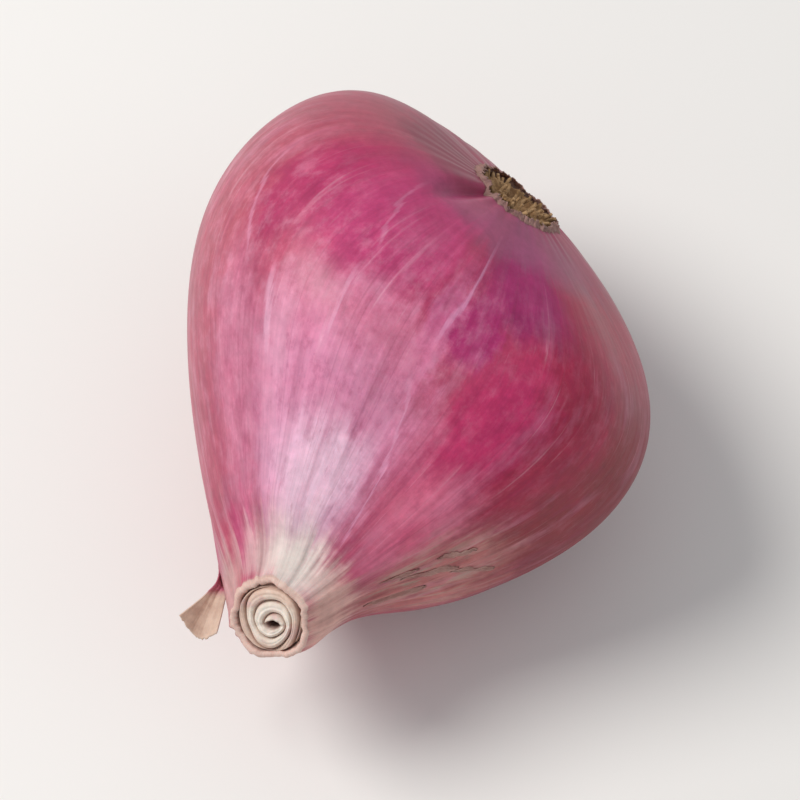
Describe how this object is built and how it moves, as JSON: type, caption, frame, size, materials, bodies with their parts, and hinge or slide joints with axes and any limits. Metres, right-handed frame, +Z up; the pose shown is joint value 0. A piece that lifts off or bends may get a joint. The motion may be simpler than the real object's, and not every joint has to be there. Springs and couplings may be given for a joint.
{
  "type": "pink shallot bulb",
  "caption": "Fresh pink shallot lying on its side: a two-lobed teardrop bulb in papery skin, with a rolled dry neck, a corky root plate and a loose flap of skin.",
  "frame": {"origin": "under the middle of the shallot, on the surface it lies on", "axes": "+Z up, +Y along the shallot from the neck to the root end, +X towards the right lobe seen from the neck"},
  "size_m": [0.0382, 0.0446, 0.0314],
  "materials": {
    "pink_skin": "satin",
    "root_cork": "matte",
    "dry_skin": "matte"
  },
  "bodies": {
    "root": {"bulb": "pink_skin", "root_plate": "root_cork", "skin_flap": "dry_skin"}
  },
  "joints": []
}
